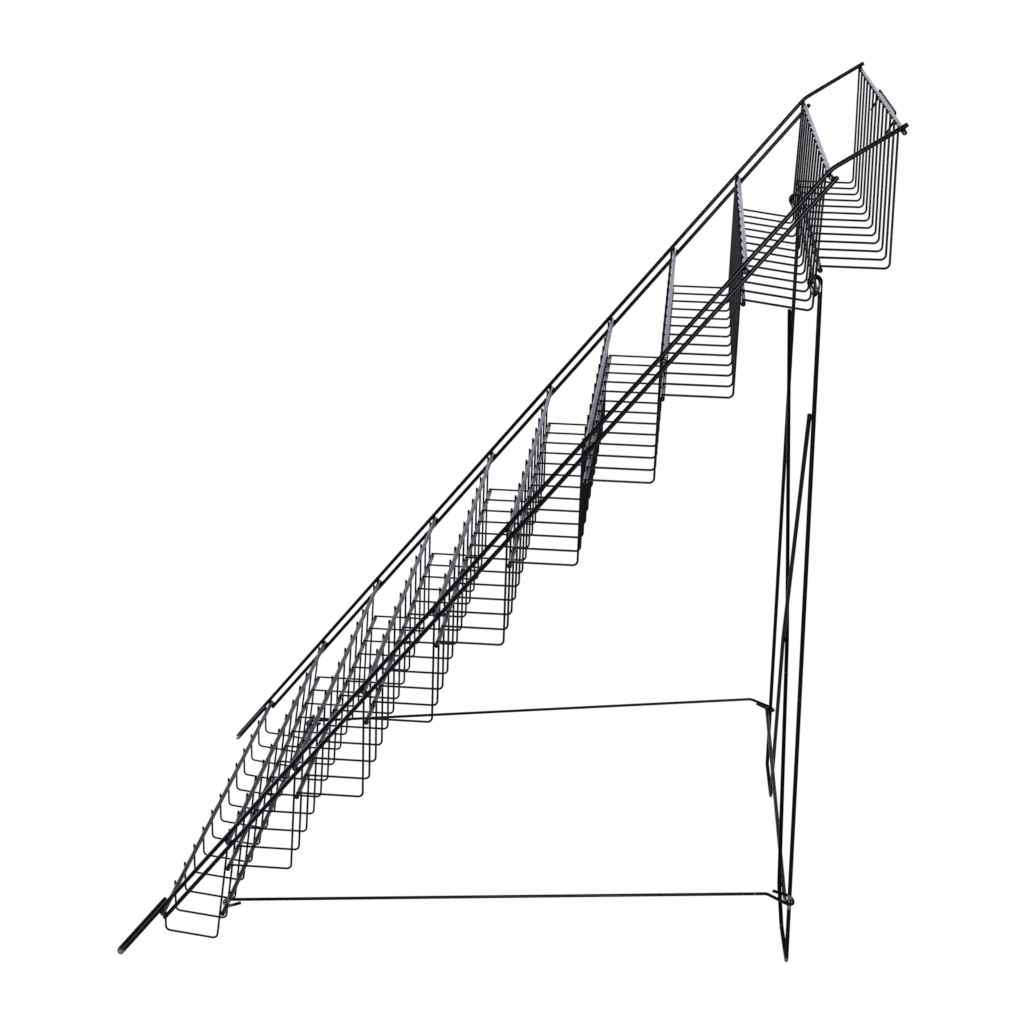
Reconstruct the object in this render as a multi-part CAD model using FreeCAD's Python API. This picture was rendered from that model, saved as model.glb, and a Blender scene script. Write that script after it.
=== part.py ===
"""Folding wire display rack: ten stepped shelves of bent wire between two raked rails.

Millimetres. X runs across the rack, Y from the front feet to the back, Z up.
The origin is the middle of the footprint, on the floor.
Every wire is a round rod swept along straight runs and tangent bends.
"""
import FreeCAD, Part
import math
import os
from dataclasses import dataclass, field

Vector = FreeCAD.Vector

# Wire stock
RAIL_WIRE = 4.8
CROSS_WIRE = 5.2
SHELF_WIRE = 2.4
BRACE_WIRE = 3.6
STAND_WIRE = 4.8
STAND_PIVOT_WIRE = 3.6
SIGN_WIRE = 2.4
WELD_GAP = 0.05
HINGE_GAP = 0.05
SHORTEST_RUN = 0.05

# Raked side frames
RAIL_SPACING = 610.0
RAKE_DEGREES = 51.16
TIER_PITCH = 124.8
TIER_COUNT = 10
FRONT_LIP_HEIGHT = 58.9
TOP_RUN_DEGREES = 33.0
TOP_RUN_LENGTH = 78.0
TOP_BEND_RADIUS = 40.0
RAIL_END_OVERRUN = 6.0
INNER_RAIL_OVERRUN = 4.0
CROSS_WIRE_OVERHANG = 3.0
FOOT_RETURN_GAP = 0.4
RIGHT_RETURN_DEGREES = 45.0
RIGHT_RETURN_END = 14.0
LEFT_RETURN_DEGREES = -24.0
LEFT_RETURN_END = -9.0

# Shelf wires
SHELF_WIRE_COUNT = 13
SHELF_WIRE_PITCH = 46.9
SHELF_BEND_RADIUS = 5.5
SHELF_NUB = 3.0
SHELF_DROP = 139.7
TOP_SHELF_DROP = 140.6
TOP_SHELF_LEAN = -2.5
SHELF_LEAN = 1.5
TIER_NINE_DROP = 141.2
TIER_NINE_LEAN = 4.2
TIER_NINE_FLOOR_RISE = 9.0
TIER_TWO_LEAN = 7.0
TIER_ONE_LEAN = 18.0
TIER_ONE_FLOOR_RISE = 7.0
FLOOR_END_GAP = 0.4
LOWER_CROSS_OVERHANG = 3.6

# Folding rear stand
STAND_PIVOT_DROP = 121.07
RIGHT_LEAN_DEGREES = 1.28
LEFT_LEAN_DEGREES = 0.35
STAND_EYE_INSET = 23.0
STAND_LEG_TAPER = 40.0
STAND_EYE_RADIUS = 5.8
STAND_EYE_TAPER_DEGREES = 28.0
STAND_EYE_STRAIGHT = 30.0
STAND_KINK_RADIUS = 60.0
FOOT_BEND_RADIUS = 2.6
FOOT_FORK_HEIGHT = 46.7
LEFT_FOOT_STEP = 7.0
RIGHT_FORK_OFFSET = 7.4
FORK_BEND_RADIUS = 14.0
DIAGONAL_TOP_HEIGHT = 672.7
DIAGONAL_OVERRUN = 4.0
DIAGONAL_BOW_RADIUS = 60.0
STAND_BAR_RIGHT_HEIGHT = 81.7
STAND_BAR_LEFT_HEIGHT = 126.7
STAND_BAR_OVERHANG = 1.0

# Side braces
BRACE_PIVOT_DROP = 105.4
BRACE_EYE_INSET = 27.0
BRACE_EYE_STRAIGHT = 14.0
BRACE_KINK_RADIUS = 40.0
BRACE_EYE_TAIL = 15.0
BRACE_EYE_TAPER_DEGREES = 17.0
BRACE_HOOK_RADIUS = 8.3
BRACE_HOOK_REACH = 27.0
BRACE_HOOK_TAIL = 19.0
BRACE_HOOK_MAIN_GAP = 1.5
BRACE_HOOK_TAIL_GAP = 0.7
BRACE_HOOK_DIP_DEGREES = 22.0
BRACE_HOOK_ROLL_DEGREES = 8.5
BRACE_KNEE_RADIUS = 12.0
BRACE_REST_GAP = 0.3

# Sign holder on the top rail
SIGN_LEFT_PLACE = -55.0
SIGN_RIGHT_PLACE = 156.0
SIGN_BAR_RISE = 1.8
SIGN_KNEE_DROP = 6.0
SIGN_LEG_DROP = 21.5
SIGN_LEG_REACH = 8.0
SIGN_BEND_RADIUS = 2.4

RIGHT = 1
LEFT = -1
SIDE_NAMES = {RIGHT: "right", LEFT: "left"}
PARTS_FOLDER = "parts"


def planar(degrees):
    """Unit direction in the side view, rising from the horizontal, as (y, z)."""
    angle = math.radians(degrees)
    return math.cos(angle), math.sin(angle)


def contact(first_wire, second_wire):
    """Centre distance of two wires laid against each other and welded."""
    return (first_wire + second_wire) / 2 + WELD_GAP


def side_view(place, y, z):
    """Point at a place across the rack and a position in the side view."""
    return Vector(place, y, z)


@dataclass
class WirePath:
    """Corner points of a bent wire, each with the radius of its bend."""

    points: list = field(default_factory=list)
    radii: list = field(default_factory=list)

    def add(self, point, radius=0.0):
        self.points.append(Vector(point))
        self.radii.append(radius)
        return self

    def bend(self, index):
        """Start, middle and end of the arc that rounds one corner."""
        corner = self.points[index]
        back = (self.points[index - 1] - corner).normalize()
        ahead = (self.points[index + 1] - corner).normalize()
        half_angle = back.getAngle(ahead) / 2
        radius = self.radii[index]
        tangent = radius / math.tan(half_angle)
        middle = (back + ahead).normalize()
        rise = radius / math.sin(half_angle) - radius
        return corner + back * tangent, corner + middle * rise, corner + ahead * tangent

    def edges(self):
        """Straight runs and tangent arcs, end to end."""
        made = []
        here = self.points[0]
        for index in range(1, len(self.points) - 1):
            start, middle, end = self.bend(index)
            if (start - here).Length > SHORTEST_RUN:
                made.append(Part.LineSegment(here, start).toShape())
                here = start
            made.append(Part.Arc(here, middle, end).toShape())
            here = end
        made.append(Part.LineSegment(here, self.points[-1]).toShape())
        return made

    def solid(self, diameter):
        """Round rod that follows the path."""
        edges = self.edges()
        if len(edges) == 1:
            span = self.points[-1] - self.points[0]
            return Part.makeCylinder(diameter / 2, span.Length, self.points[0], span)
        spine = Part.Wire(edges)
        heading = self.points[1] - self.points[0]
        section = Part.Wire([Part.makeCircle(diameter / 2, self.points[0], heading)])
        sweep = Part.BRepOffsetAPI.MakePipeShell(spine)
        sweep.add(section)
        sweep.build()
        sweep.makeSolid()
        return sweep.shape()


# Side frame layout: weld nodes number 0 at the top back to TIER_COUNT at the front lip

RAIL_OFFSET = contact(RAIL_WIRE, CROSS_WIRE)
SHELF_HALF_WIDTH = (SHELF_WIRE_COUNT - 1) / 2 * SHELF_WIRE_PITCH
LOWER_CROSS_HALF_LENGTH = SHELF_HALF_WIDTH + LOWER_CROSS_OVERHANG
ALONG_Y, ALONG_Z = planar(RAKE_DEGREES)
TOP_Y, TOP_Z = planar(TOP_RUN_DEGREES)


def on_rake(distance, offset):
    """Side view point a distance up the rake from the front lip, offset to its upper side."""
    y = distance * ALONG_Y - offset * ALONG_Z
    z = FRONT_LIP_HEIGHT + distance * ALONG_Z + offset * ALONG_Y
    return y, z


RAKE_LENGTH = (TIER_COUNT - 1) * TIER_PITCH
TOP_BEND_SETBACK = TOP_BEND_RADIUS * math.tan(math.radians(RAKE_DEGREES - TOP_RUN_DEGREES) / 2)
TOP_CORNER = on_rake(RAKE_LENGTH + TOP_BEND_SETBACK, RAIL_OFFSET)


def on_top_run(distance, offset):
    """Side view point a distance past the top bend, offset to the upper side."""
    y = TOP_CORNER[0] + distance * TOP_Y - offset * TOP_Z
    z = TOP_CORNER[1] + distance * TOP_Z + offset * TOP_Y
    return y, z


def node(number):
    """Side view centre of the cross wire at a weld node."""
    if number == 0:
        return on_top_run(TOP_RUN_LENGTH, -RAIL_OFFSET)
    return on_rake((TIER_COUNT - number) * TIER_PITCH, 0)


def foot_distance(first_offset, second_offset, bend):
    """Distance up the rake of the corners of a foot whose fold just meets the floor."""
    side_rise = (second_offset - first_offset) * ALONG_Y / (2 * bend)
    fold_middle = RAIL_WIRE / 2 + bend * math.hypot(ALONG_Z, side_rise)
    middle_offset = (first_offset + second_offset) / 2
    return (fold_middle - FRONT_LIP_HEIGHT - middle_offset * ALONG_Y) / ALONG_Z - bend


@dataclass
class Tier:
    """One shelf: thirteen wires that drop from a cross wire and run forward as the floor."""

    number: int
    drop: float
    lean: float
    floor_rise: float

    @property
    def back_node(self):
        return node(TIER_COUNT - self.number)

    @property
    def front_node(self):
        return node(TIER_COUNT - self.number + 1)

    @property
    def back_top(self):
        """Top of the back wires, which lean past the front of the cross wire."""
        y, z = self.back_node
        slope = self.lean / (self.drop + SHELF_NUB)
        reach = contact(CROSS_WIRE, SHELF_WIRE) * math.hypot(1, slope)
        return y - reach + SHELF_NUB * slope, z + SHELF_NUB

    @property
    def rear_corner(self):
        y, z = self.back_top
        return y - self.lean, self.back_node[1] - self.drop

    @property
    def floor_front(self):
        """Height of the floor wires at their front end."""
        return self.rear_corner[1] + self.floor_rise

    def back_at(self, height):
        """Depth of the back wires' centres at a height."""
        top_y, top_z = self.back_top
        low_y, low_z = self.rear_corner
        share = (top_z - height) / (top_z - low_z)
        return top_y + (low_y - top_y) * share

    def behind_back(self, height, wire):
        """Depth of a wire laid across the rear of the back wires at a height."""
        top_y, top_z = self.back_top
        low_y, low_z = self.rear_corner
        slope = math.hypot(top_y - low_y, top_z - low_z) / (top_z - low_z)
        return self.back_at(height) + contact(SHELF_WIRE, wire) * slope


def make_tiers():
    """The ten shelves, from the front lip up."""
    tiers = [Tier(number, SHELF_DROP, SHELF_LEAN, 0.0) for number in range(1, TIER_COUNT + 1)]
    first, second = tiers[0], tiers[1]
    ninth, top = tiers[-2], tiers[-1]
    first.lean = TIER_ONE_LEAN
    first.floor_rise = TIER_ONE_FLOOR_RISE
    second.lean = TIER_TWO_LEAN
    ninth.drop = TIER_NINE_DROP
    ninth.lean = TIER_NINE_LEAN
    ninth.floor_rise = TIER_NINE_FLOOR_RISE
    top.drop = TOP_SHELF_DROP
    top.lean = TOP_SHELF_LEAN
    return tiers


TIERS = make_tiers()
FIRST_TIER = TIERS[0]
STAND_TIER = TIERS[-2]


def shelf_places():
    """Places across the rack of the shelf wires."""
    return [index * SHELF_WIRE_PITCH - SHELF_HALF_WIDTH for index in range(SHELF_WIRE_COUNT)]


def crosswise(half_length, y, z, diameter):
    """Straight wire from side to side, centred."""
    path = WirePath().add(side_view(-half_length, y, z)).add(side_view(half_length, y, z))
    return path.solid(diameter)


def make_outer_rail(side):
    """Upper rail of one side: foot, folded return, long rake and top run."""
    place = side * RAIL_SPACING / 2
    degrees = RIGHT_RETURN_DEGREES if side == RIGHT else LEFT_RETURN_DEGREES
    return_end = RIGHT_RETURN_END if side == RIGHT else LEFT_RETURN_END
    spacing = RAIL_WIRE + FOOT_RETURN_GAP
    inward, up = planar(degrees)
    return_place = place - side * spacing * inward
    return_offset = RAIL_OFFSET + spacing * up
    bend = spacing / 2
    foot = foot_distance(RAIL_OFFSET, return_offset, bend)
    path = WirePath()
    path.add(side_view(return_place, *on_rake(return_end, return_offset)))
    path.add(side_view(return_place, *on_rake(foot, return_offset)), bend)
    path.add(side_view(place, *on_rake(foot, RAIL_OFFSET)), bend)
    path.add(side_view(place, *TOP_CORNER), TOP_BEND_RADIUS)
    path.add(side_view(place, *on_top_run(TOP_RUN_LENGTH + RAIL_END_OVERRUN, 0)))
    return path.solid(RAIL_WIRE)


def make_inner_rail(side):
    """Lower rail of one side, straight from the front lip to the top bend."""
    place = side * RAIL_SPACING / 2
    path = WirePath()
    path.add(side_view(place, *on_rake(-INNER_RAIL_OVERRUN, -RAIL_OFFSET)))
    path.add(side_view(place, *on_rake(RAKE_LENGTH + INNER_RAIL_OVERRUN, -RAIL_OFFSET)))
    return path.solid(RAIL_WIRE)


def make_top_cross_wire(number):
    """Cross wire held between the rails at one weld node."""
    y, z = node(number)
    return crosswise(RAIL_SPACING / 2 + CROSS_WIRE_OVERHANG, y, z, CROSS_WIRE)


def floor_end(tier):
    """Depth of a floor's front end, just behind the back wires of the shelf below."""
    below = TIERS[tier.number - 2]
    return below.back_at(tier.floor_front) + SHELF_WIRE + FLOOR_END_GAP


def make_lower_cross_wire(tier):
    """Cross wire under the front of a shelf's floor, welded behind the shelf below."""
    below = TIERS[tier.number - 2]
    reach = contact(CROSS_WIRE, SHELF_WIRE)
    y = below.behind_back(tier.floor_front - reach, CROSS_WIRE)
    front_y, rear_y = floor_end(tier), tier.rear_corner[0]
    slope = tier.floor_rise / (rear_y - front_y)
    z = tier.floor_front - slope * (y - front_y) - reach * math.hypot(1, slope)
    return crosswise(LOWER_CROSS_HALF_LENGTH, y, z, CROSS_WIRE)


def make_shelf(tier):
    """All wires of one shelf: back, rounded lower corner and floor."""
    wires = []
    if tier.number == 1:
        lip_y = tier.front_node[0] - contact(CROSS_WIRE, SHELF_WIRE)
        front = [(lip_y, tier.front_node[1] + SHELF_NUB), (lip_y, tier.floor_front)]
    else:
        front = [(floor_end(tier), tier.floor_front)]
    for place in shelf_places():
        path = WirePath().add(side_view(place, *front[0]))
        for corner in front[1:] + [tier.rear_corner]:
            path.add(side_view(place, *corner), SHELF_BEND_RADIUS)
        path.add(side_view(place, *tier.back_top))
        wires.append(path.solid(SHELF_WIRE))
    return Part.makeCompound(wires)


# Stand layout: the pivot wire lies behind the ninth shelf's back wires

STAND_PIVOT_HEIGHT = STAND_TIER.back_node[1] - STAND_PIVOT_DROP
STAND_PIVOT_Y = STAND_TIER.behind_back(STAND_PIVOT_HEIGHT, STAND_PIVOT_WIRE)
STAND_EYE_HALF_SPAN = LOWER_CROSS_HALF_LENGTH - STAND_EYE_INSET
LEG_BACKSET = (STAND_PIVOT_WIRE + STAND_WIRE) / 2 + HINGE_GAP
LEAN = {RIGHT: math.radians(RIGHT_LEAN_DEGREES), LEFT: math.radians(LEFT_LEAN_DEGREES)}
EYE_TAPER = math.radians(STAND_EYE_TAPER_DEGREES)
EYE_RISE = (STAND_EYE_RADIUS - LEG_BACKSET) * (1 + math.cos(EYE_TAPER)) / math.sin(EYE_TAPER)
WIRE_STEP = contact(STAND_WIRE, STAND_WIRE)


def beside_leg(side, down, forward):
    """Side view point down one leg from the pivot's level and forward of its centre line."""
    back = LEG_BACKSET - forward
    y = STAND_PIVOT_Y + back * math.cos(LEAN[side]) + down * math.sin(LEAN[side])
    z = STAND_PIVOT_HEIGHT + back * math.sin(LEAN[side]) - down * math.cos(LEAN[side])
    return y, z


def leg_down(side, height):
    """Distance down one leg at which its centre line reaches a height."""
    return (beside_leg(side, 0, 0)[1] - height) / math.cos(LEAN[side])


def leg_place(side, down):
    """Half span of one leg a distance down from the pivot's level."""
    share = (down - STAND_EYE_STRAIGHT) / (leg_down(side, STAND_WIRE / 2) - STAND_EYE_STRAIGHT)
    return STAND_EYE_HALF_SPAN - STAND_LEG_TAPER * max(share, 0)


def leg_point(side, height, forward):
    """Point level with a height on one leg, forward of its centre line."""
    down = leg_down(side, height)
    return side_view(side * leg_place(side, down), *beside_leg(side, down, forward))


def foot_point(side):
    """Lowest point of one leg: the left leg steps back to it, the right one runs straight down."""
    back = LEFT_FOOT_STEP if side == LEFT else 0
    foot = leg_point(side, STAND_WIRE / 2, -back)
    foot.z = STAND_WIRE / 2
    return foot


def bar_height(side):
    """Height of the stand bar on one leg."""
    return STAND_BAR_RIGHT_HEIGHT if side == RIGHT else STAND_BAR_LEFT_HEIGHT


def diagonal_head(side):
    """Upper end of one foot's diagonal, on the front of the other leg."""
    return leg_point(-side, DIAGONAL_TOP_HEIGHT, WIRE_STEP)


def right_fork():
    """Point where the strand that comes back up from the right foot leaves its leg."""
    point = leg_point(RIGHT, FOOT_FORK_HEIGHT, RIGHT_FORK_OFFSET)
    point.x -= 2 * FOOT_BEND_RADIUS
    return point


def over_bar():
    """Point where the right foot's diagonal passes in front of the stand bar."""
    fork, head = right_fork(), diagonal_head(RIGHT)
    start, end = bar_end(RIGHT), bar_end(LEFT)
    slope = (end.z - start.z) / (end.x - start.x)
    climb = head.z - fork.z - slope * (head.x - fork.x)
    share = (start.z + slope * (fork.x - start.x) - fork.z) / climb
    place = fork.x + share * (head.x - fork.x)
    depth = start.y + (end.y - start.y) * (place - start.x) / (end.x - start.x)
    return side_view(place, depth - WIRE_STEP - WELD_GAP, fork.z + share * (head.z - fork.z))


def diagonal_start(side):
    """Point from which one foot's diagonal runs straight up, seen from the front."""
    if side == RIGHT:
        return right_fork()
    return foot_point(side) - side_view(side * 2 * FOOT_BEND_RADIUS, 0, 0)


def diagonal_crossing(side):
    """Point of one diagonal where the left one passes in front of the right one."""
    low, other_low = over_bar(), diagonal_start(LEFT)
    span, other_span = diagonal_head(RIGHT) - low, diagonal_head(LEFT) - other_low
    spread = span.x * other_span.z - span.z * other_span.x
    apart = other_low - low
    share = (apart.x * other_span.z - apart.z * other_span.x) / spread
    other_share = (apart.x * span.z - apart.z * span.x) / spread
    point = low + span * share
    depth = (point.y + (other_low + other_span * other_share).y) / 2
    return side_view(point.x, depth + side * (WIRE_STEP + WELD_GAP) / 2, point.z)


def diagonal_corners(side):
    """Corners of one diagonal, from its foot up, each with the radius of its bend."""
    corners = [(diagonal_crossing(side), DIAGONAL_BOW_RADIUS)]
    if side == RIGHT:
        return [(right_fork(), FORK_BEND_RADIUS), (over_bar(), DIAGONAL_BOW_RADIUS)] + corners
    return corners


def make_stand_leg(side):
    """Leg, hinge eye, foot and diagonal of one side, bent from one wire."""
    eye_place = side * STAND_EYE_HALF_SPAN
    top = -EYE_RISE - STAND_EYE_RADIUS
    wide = STAND_EYE_RADIUS * (1 + (1 + math.sin(EYE_TAPER)) / math.cos(EYE_TAPER))
    end_down = STAND_EYE_RADIUS + (STAND_EYE_RADIUS - WIRE_STEP) * math.cos(EYE_TAPER)
    end_down = end_down / math.sin(EYE_TAPER) - EYE_RISE
    path = WirePath()
    path.add(side_view(eye_place, *beside_leg(side, end_down, WIRE_STEP)))
    path.add(side_view(eye_place, *beside_leg(side, top, wide)), STAND_EYE_RADIUS)
    path.add(side_view(eye_place, *beside_leg(side, top, 0)), STAND_EYE_RADIUS)
    path.add(side_view(eye_place, *beside_leg(side, STAND_EYE_STRAIGHT, 0)), STAND_KINK_RADIUS)
    if side == LEFT:
        path.add(leg_point(side, FOOT_FORK_HEIGHT, 0), FORK_BEND_RADIUS)
    foot = foot_point(side)
    path.add(foot, FOOT_BEND_RADIUS)
    path.add(foot - side_view(side * 2 * FOOT_BEND_RADIUS, 0, 0), FOOT_BEND_RADIUS)
    for corner, radius in diagonal_corners(side):
        path.add(corner, radius)
    head = diagonal_head(side)
    overrun = (head - path.points[-1]).normalize() * DIAGONAL_OVERRUN
    path.add(head + overrun)
    return path.solid(STAND_WIRE)


def bar_end(side):
    """Point where the stand bar lies on the front of one leg."""
    return leg_point(side, bar_height(side), WIRE_STEP)


def make_stand_bar():
    """Bar across the front of the legs, on which the brace hooks rest."""
    start, end = bar_end(LEFT), bar_end(RIGHT)
    overhang = (end - start).normalize() * STAND_BAR_OVERHANG
    return WirePath().add(start - overhang).add(end + overhang).solid(STAND_WIRE)


def make_stand_pivot_wire():
    return crosswise(LOWER_CROSS_HALF_LENGTH, STAND_PIVOT_Y, STAND_PIVOT_HEIGHT, STAND_PIVOT_WIRE)


BRACE_HALF_SPAN = LOWER_CROSS_HALF_LENGTH - BRACE_EYE_INSET
BRACE_PIVOT_HEIGHT = FIRST_TIER.back_node[1] - BRACE_PIVOT_DROP
BRACE_PIVOT_Y = FIRST_TIER.behind_back(BRACE_PIVOT_HEIGHT, CROSS_WIRE)


def make_brace_pivot_wire():
    return crosswise(LOWER_CROSS_HALF_LENGTH, BRACE_PIVOT_Y, BRACE_PIVOT_HEIGHT, CROSS_WIRE)


def loop_taper(radius, reach, half_width):
    """Angle of a strand tangent to a loop that passes a point beyond it."""
    return math.asin(radius / math.hypot(reach, half_width)) - math.atan2(half_width, reach)


def make_brace(side):
    """Brace of one side: eye round the front pivot wire, long run, hook round the leg."""
    radius = BRACE_HOOK_RADIUS
    side_step = (STAND_WIRE + BRACE_WIRE) / 2
    centre = radius - side_step - BRACE_REST_GAP
    main_width = side_step + BRACE_HOOK_MAIN_GAP
    tail_width = side_step + BRACE_HOOK_TAIL_GAP
    main_taper = loop_taper(radius, BRACE_HOOK_REACH - centre, main_width)
    tail_taper = loop_taper(radius, BRACE_HOOK_TAIL - centre, tail_width)
    dip_angle = math.radians(BRACE_HOOK_DIP_DEGREES)
    dip = math.tan(dip_angle)
    roll = math.tan(math.radians(BRACE_HOOK_ROLL_DEGREES))
    bar_slope = (bar_height(side) - bar_height(-side)) / abs(bar_end(side).x - bar_end(-side).x)
    rest = (side_step + BRACE_REST_GAP) / math.cos(dip_angle)
    level = bar_height(side) + rest - WIRE_STEP * dip - radius * (roll + bar_slope)
    leg = leg_point(side, level, 0)

    def at_hook(forward, outward):
        z = leg.z + forward * dip - outward * roll
        return side_view(leg.x + side * outward, leg.y - forward, z)

    knee = at_hook(BRACE_HOOK_REACH, main_width)
    eye_radius = (CROSS_WIRE + BRACE_WIRE) / 2 + HINGE_GAP
    run, climb = knee.y - BRACE_PIVOT_Y, knee.z - BRACE_PIVOT_HEIGHT
    rise = math.atan2(climb, run) - math.asin(eye_radius / math.hypot(climb, run))

    def at_eye(ahead, above):
        y = BRACE_PIVOT_Y + ahead * math.cos(rise) - above * math.sin(rise)
        z = BRACE_PIVOT_HEIGHT + ahead * math.sin(rise) + above * math.cos(rise)
        return side_view(side * BRACE_HALF_SPAN, y, z)

    taper = math.radians(BRACE_EYE_TAPER_DEGREES)
    tail_above = (BRACE_EYE_TAIL * math.sin(taper) - eye_radius) / math.cos(taper)
    main_corner = radius * (1 + math.sin(main_taper)) / math.cos(main_taper)
    tail_corner = radius * (1 + math.sin(tail_taper)) / math.cos(tail_taper)
    path = WirePath()
    path.add(at_eye(BRACE_EYE_TAIL, tail_above))
    path.add(at_eye(-eye_radius, -eye_radius * (1 + math.sin(taper)) / math.cos(taper)), eye_radius)
    path.add(at_eye(-eye_radius, eye_radius), eye_radius)
    path.add(at_eye(BRACE_EYE_STRAIGHT, eye_radius), BRACE_KINK_RADIUS)
    path.add(knee, BRACE_KNEE_RADIUS)
    path.add(at_hook(centre - radius, main_corner), radius)
    path.add(at_hook(centre - radius, -tail_corner), radius)
    path.add(at_hook(BRACE_HOOK_TAIL, -tail_width))
    return path.solid(BRACE_WIRE)


def make_sign_holder():
    """Loop behind the top cross wire, its legs bent forward under it."""
    y, z = node(0)
    y += contact(CROSS_WIRE, SIGN_WIRE)
    tip = (y - SIGN_LEG_REACH, z - SIGN_LEG_DROP)
    path = WirePath().add(side_view(SIGN_LEFT_PLACE, *tip))
    path.add(side_view(SIGN_LEFT_PLACE, y, z - SIGN_KNEE_DROP), SIGN_BEND_RADIUS)
    path.add(side_view(SIGN_LEFT_PLACE, y, z + SIGN_BAR_RISE), SIGN_BEND_RADIUS)
    path.add(side_view(SIGN_RIGHT_PLACE, y, z + SIGN_BAR_RISE), SIGN_BEND_RADIUS)
    path.add(side_view(SIGN_RIGHT_PLACE, y, z - SIGN_KNEE_DROP), SIGN_BEND_RADIUS)
    path.add(side_view(SIGN_RIGHT_PLACE, *tip))
    return path.solid(SIGN_WIRE)


def make_parts():
    """Every sub-part by name, in the side frame's own place."""
    parts = {}
    for side, name in SIDE_NAMES.items():
        parts[f"{name}_outer_rail_wire"] = make_outer_rail(side)
        parts[f"{name}_inner_rail_wire"] = make_inner_rail(side)
        parts[f"{name}_stand_leg_wire"] = make_stand_leg(side)
        parts[f"{name}_brace_wire"] = make_brace(side)
    for number in range(TIER_COUNT + 1):
        parts[f"top_cross_wire_{number:02d}"] = make_top_cross_wire(number)
    for tier in TIERS:
        parts[f"shelf_{tier.number:02d}_wires"] = make_shelf(tier)
        if tier.number > 1:
            parts[f"lower_cross_wire_{tier.number:02d}"] = make_lower_cross_wire(tier)
    parts["stand_bar"] = make_stand_bar()
    parts["stand_pivot_wire"] = make_stand_pivot_wire()
    parts["brace_pivot_wire"] = make_brace_pivot_wire()
    parts["sign_holder_wire"] = make_sign_holder()
    return parts


def whole_box(parts):
    """Tight box around the whole rack."""
    return Part.makeCompound(list(parts.values())).optimalBoundingBox(False, False)


def main():
    """Centre the rack on its footprint and write one file per sub-part."""
    parts = make_parts()
    box = whole_box(parts)
    shift = Vector(0, -(box.YMin + box.YMax) / 2, 0)
    os.makedirs(PARTS_FOLDER, exist_ok=True)
    for name, shape in parts.items():
        shape.translate(shift)
        shape.exportStep(f"{PARTS_FOLDER}/{name}.step")
    print("parts", len(parts), "width, depth, height", box.XLength, box.YLength, box.ZLength)
    print("stand pivot", STAND_PIVOT_Y + shift.y, STAND_PIVOT_HEIGHT)
    print("brace pivot", BRACE_PIVOT_Y + shift.y, BRACE_PIVOT_HEIGHT)


main()
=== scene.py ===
"""Looks of the folding wire display rack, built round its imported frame.

Everything is in metres, in the row frame: X across the rack, Y from the front feet to the back,
Z up. The bent wires themselves come with the frame. This script gives them their black coat, and
adds the weld beads where wires cross and the drops of coat that round off every cut end.
"""

import logging
import math
from dataclasses import dataclass, field
from enum import Enum
from typing import Any, Iterator

import bmesh
import bpy
from mathutils import Matrix, Vector

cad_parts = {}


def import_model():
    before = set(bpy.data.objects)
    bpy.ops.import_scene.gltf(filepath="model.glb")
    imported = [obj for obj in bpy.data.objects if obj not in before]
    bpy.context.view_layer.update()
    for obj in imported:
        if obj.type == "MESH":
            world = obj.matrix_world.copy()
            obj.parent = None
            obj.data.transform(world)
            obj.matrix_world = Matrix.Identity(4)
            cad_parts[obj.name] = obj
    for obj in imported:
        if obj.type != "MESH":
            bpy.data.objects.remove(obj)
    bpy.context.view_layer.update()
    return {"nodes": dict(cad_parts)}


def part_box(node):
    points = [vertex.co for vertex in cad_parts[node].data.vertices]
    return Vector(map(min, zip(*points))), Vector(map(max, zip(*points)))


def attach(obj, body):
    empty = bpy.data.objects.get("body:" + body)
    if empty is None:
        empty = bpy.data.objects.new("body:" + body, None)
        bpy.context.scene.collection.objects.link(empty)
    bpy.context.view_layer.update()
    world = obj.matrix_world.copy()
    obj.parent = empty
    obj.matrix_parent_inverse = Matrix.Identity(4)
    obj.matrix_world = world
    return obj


LOG = logging.getLogger("wire_rack")

MM = 0.001
SIDES = (-1.0, 1.0)
SIDE_NAMES = ("right", "left")
WELD_GAP = 0.05 * MM  # the frame's clearance between two welded wires
X_AXIS = Vector((1.0, 0.0, 0.0))
Z_AXIS = Vector((0.0, 0.0, 1.0))


class Body(Enum):
    """Rigid bodies of the frame that a piece can ride on."""

    RACK = "rack"
    STAND = "rear_stand"
    RIGHT_BRACE = "right_brace"
    LEFT_BRACE = "left_brace"


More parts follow.
